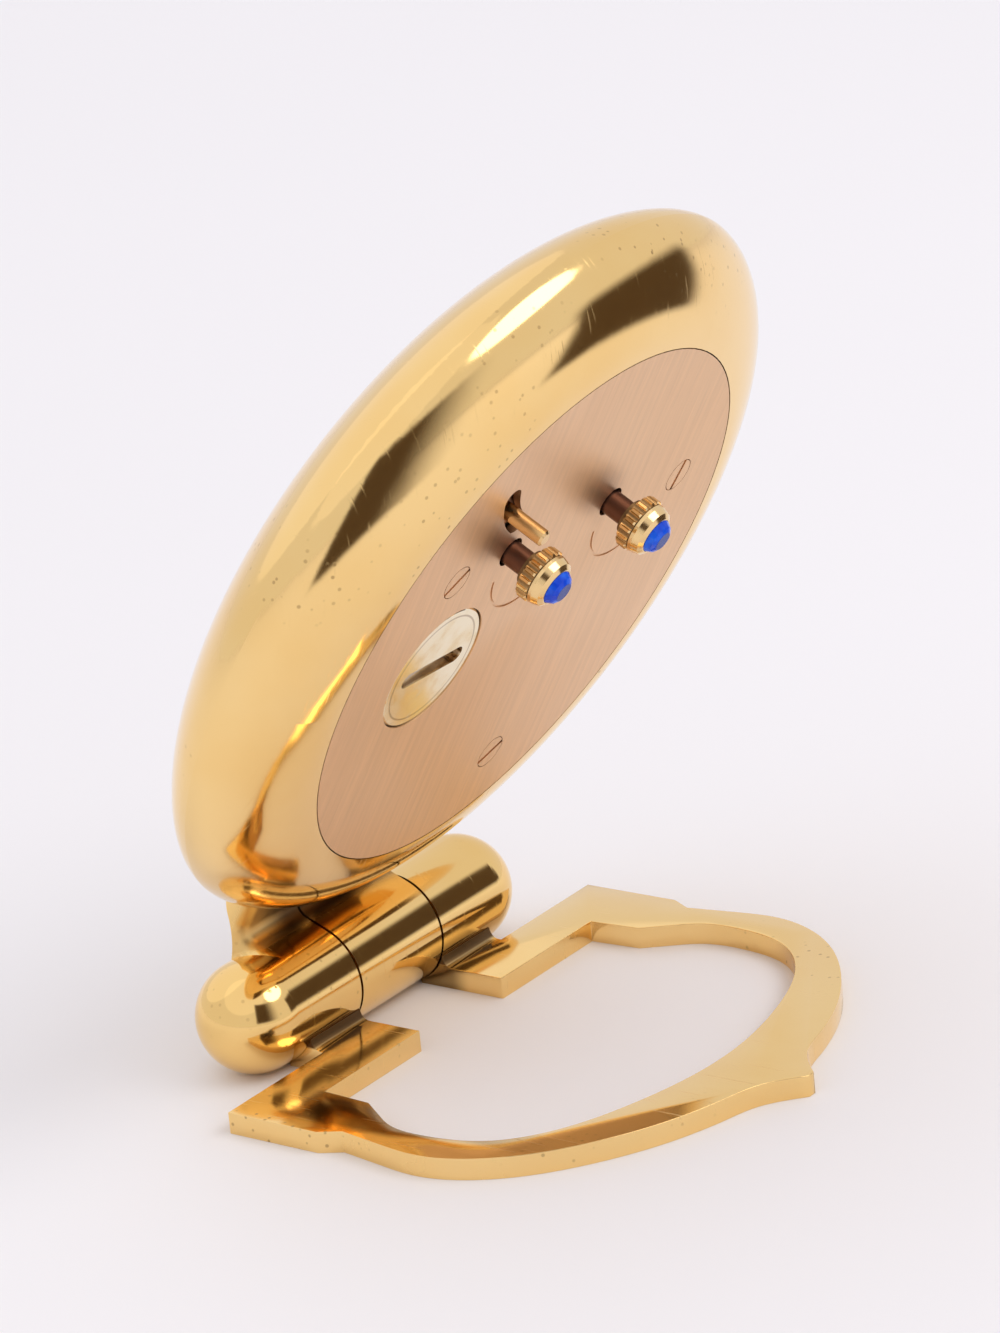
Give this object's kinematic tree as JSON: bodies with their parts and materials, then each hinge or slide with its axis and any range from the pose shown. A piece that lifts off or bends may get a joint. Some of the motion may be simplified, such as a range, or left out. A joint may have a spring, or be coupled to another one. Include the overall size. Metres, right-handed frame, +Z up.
{
  "type": "travel clock",
  "caption": "Round gilt travel alarm clock with a domed pebble case that leans back on a hinge barrel over a flat openwork foot, setting knobs and a battery hatch behind.",
  "frame": {"origin": "on the table, in the middle of the ground the clock covers", "axes": "+Z up, +Y from the hinge barrel towards the tip of the foot, +X along the hinge"},
  "size_m": [0.075, 0.0556, 0.0793],
  "materials": {
    "gilt_brass": "polished",
    "brushed_plate": "brushed",
    "hatch_metal": "polished",
    "blue_cabochon": "polished",
    "steel": "satin",
    "movement_brass": "satin",
    "grey_plastic": "matt",
    "black_plastic": "matt",
    "green_board": "satin",
    "copper_wire": "satin",
    "crystal_glass": "clear",
    "seal_rubber": "matt",
    "cream_dial": "satin",
    "blued_hands": "gloss",
    "red_alarm_hand": "gloss"
  },
  "bodies": {
    "foot": {"foot_ring": "gilt_brass", "knuckle_right": "gilt_brass", "knuckle_left": "gilt_brass", "hinge_pin": "steel", "friction_washers": "seal_rubber"},
    "case": {"alarm_contact": "steel", "back_plate": "brushed_plate", "battery_cell": "steel", "battery_cup": "steel", "case_clamps": "steel", "case_shell": "gilt_brass", "circuit_board": "green_board", "clamp_screws": "steel", "coil_bobbin": "grey_plastic", "coil_core": "steel", "coil_winding": "copper_wire", "crystal": "crystal_glass", "crystal_gasket": "seal_rubber", "dial": "cream_dial", "hinge_lug": "gilt_brass", "hour_markers": "blued_hands", "lug_screws": "gilt_brass", "main_plate": "movement_brass", "movement_ring": "grey_plastic", "negative_contact": "steel", "piezo_disc": "movement_brass", "pillar_screws": "steel", "pillars": "movement_brass", "plate_screws": "gilt_brass", "plate_spacers": "movement_brass", "positive_contact": "steel", "quartz_can": "steel", "rear_bridge": "movement_brass", "rehaut_ring": "movement_brass", "stator": "steel", "stator_posts": "steel", "timing_chip": "black_plastic"},
    "alarm_switch": {"alarm_lever": "steel", "alarm_pin": "gilt_brass"},
    "alarm_setting": {"alarm_stem": "steel", "alarm_knob": "gilt_brass", "alarm_cabochon": "blue_cabochon"},
    "alarm_idler": {"alarm_idler": "movement_brass"},
    "alarm_wheel": {"alarm_wheel": "movement_brass", "alarm_hand": "red_alarm_hand"},
    "time_setting": {"time_stem": "steel", "time_knob": "gilt_brass", "time_cabochon": "blue_cabochon"},
    "motion_wheel": {"motion_wheel": "movement_brass"},
    "minute_arbor": {"minute_arbor": "movement_brass", "minute_hand": "blued_hands"},
    "hour_wheel": {"hour_wheel": "movement_brass", "hour_hand": "blued_hands"},
    "rotor": {"rotor": "steel"},
    "third_wheel": {"third_wheel": "movement_brass"},
    "seconds_wheel": {"seconds_wheel": "movement_brass", "seconds_hand": "blued_hands"},
    "step_wheel": {"step_wheel": "movement_brass"},
    "clutch_wheel": {"clutch_wheel": "movement_brass"},
    "hatch": {"battery_hatch": "hatch_metal"}
  },
  "joints": [
    {"name": "case_tilt", "type": "hinge", "parent": "foot", "child": "case", "pos_m": [0, -0.02241, 0.00538], "axis": [1, 0, 0], "range_deg": [-60, 0]},
    {"name": "alarm_switch_swing", "type": "hinge", "parent": "case", "child": "alarm_switch", "pos_m": [0.0044, 0.00537, 0.06388], "axis": [0, 0.8678, -0.497], "range_deg": [-17, 17]},
    {"name": "alarm_knob_turn", "type": "hinge", "parent": "case", "child": "alarm_setting", "pos_m": [0.00801, 0.00026, 0.05496], "axis": [0, 0.8678, -0.497], "continuous": true},
    {"name": "alarm_idler_turn", "type": "hinge", "parent": "case", "child": "alarm_idler", "pos_m": [0.00502, -0.00158, 0.05176], "axis": [0, 0.8678, -0.497], "continuous": true},
    {"name": "alarm_wheel_turn", "type": "hinge", "parent": "case", "child": "alarm_wheel", "pos_m": [0, -0.00467, 0.04635], "axis": [0, 0.8678, -0.497], "continuous": true},
    {"name": "time_knob_turn", "type": "hinge", "parent": "case", "child": "time_setting", "pos_m": [-0.00798, -0.00022, 0.05413], "axis": [0, 0.8678, -0.497], "continuous": true},
    {"name": "motion_wheel_turn", "type": "hinge", "parent": "case", "child": "motion_wheel", "pos_m": [-0.00399, -0.00245, 0.05024], "axis": [0, 0.8678, -0.497], "continuous": true},
    {"name": "minute_hand_turn", "type": "hinge", "parent": "case", "child": "minute_arbor", "pos_m": [0, -0.00467, 0.04635], "axis": [0, 0.8678, -0.497], "continuous": true},
    {"name": "hour_hand_turn", "type": "hinge", "parent": "case", "child": "hour_wheel", "pos_m": [0, -0.00467, 0.04635], "axis": [0, 0.8678, -0.497], "continuous": true},
    {"name": "rotor_turn", "type": "hinge", "parent": "case", "child": "rotor", "pos_m": [-0.00908, -0.00693, 0.04241], "axis": [0, 0.8678, -0.497], "continuous": true},
    {"name": "third_wheel_turn", "type": "hinge", "parent": "case", "child": "third_wheel", "pos_m": [-0.00541, -0.00565, 0.04464], "axis": [0, 0.8678, -0.497], "continuous": true},
    {"name": "seconds_hand_turn", "type": "hinge", "parent": "case", "child": "seconds_wheel", "pos_m": [0, -0.00467, 0.04635], "axis": [0, 0.8678, -0.497], "continuous": true},
    {"name": "step_wheel_turn", "type": "hinge", "parent": "case", "child": "step_wheel", "pos_m": [0, -0.00754, 0.04134], "axis": [0, 0.8678, -0.497], "continuous": true},
    {"name": "clutch_wheel_turn", "type": "hinge", "parent": "case", "child": "clutch_wheel", "pos_m": [0, -0.00467, 0.04635], "axis": [0, 0.8678, -0.497], "continuous": true},
    {"name": "hatch_turn", "type": "hinge", "parent": "case", "child": "hatch", "pos_m": [0.0137, -0.00527, 0.04531], "axis": [0, 0.8678, -0.497], "range_deg": [0, 90]}
  ],
  "couplings": [
    {"joint": "alarm_idler_turn", "follows": "alarm_knob_turn", "ratio": -0.58333},
    {"joint": "alarm_wheel_turn", "follows": "alarm_knob_turn", "ratio": 0.35},
    {"joint": "motion_wheel_turn", "follows": "time_knob_turn", "ratio": -0.33333},
    {"joint": "minute_hand_turn", "follows": "time_knob_turn", "ratio": 1},
    {"joint": "hour_hand_turn", "follows": "time_knob_turn", "ratio": 0.083333},
    {"joint": "third_wheel_turn", "follows": "rotor_turn", "ratio": -0.16667},
    {"joint": "seconds_hand_turn", "follows": "rotor_turn", "ratio": 0.033333},
    {"joint": "step_wheel_turn", "follows": "rotor_turn", "ratio": -0.0044444},
    {"joint": "clutch_wheel_turn", "follows": "rotor_turn", "ratio": 0.00055556}
  ]
}
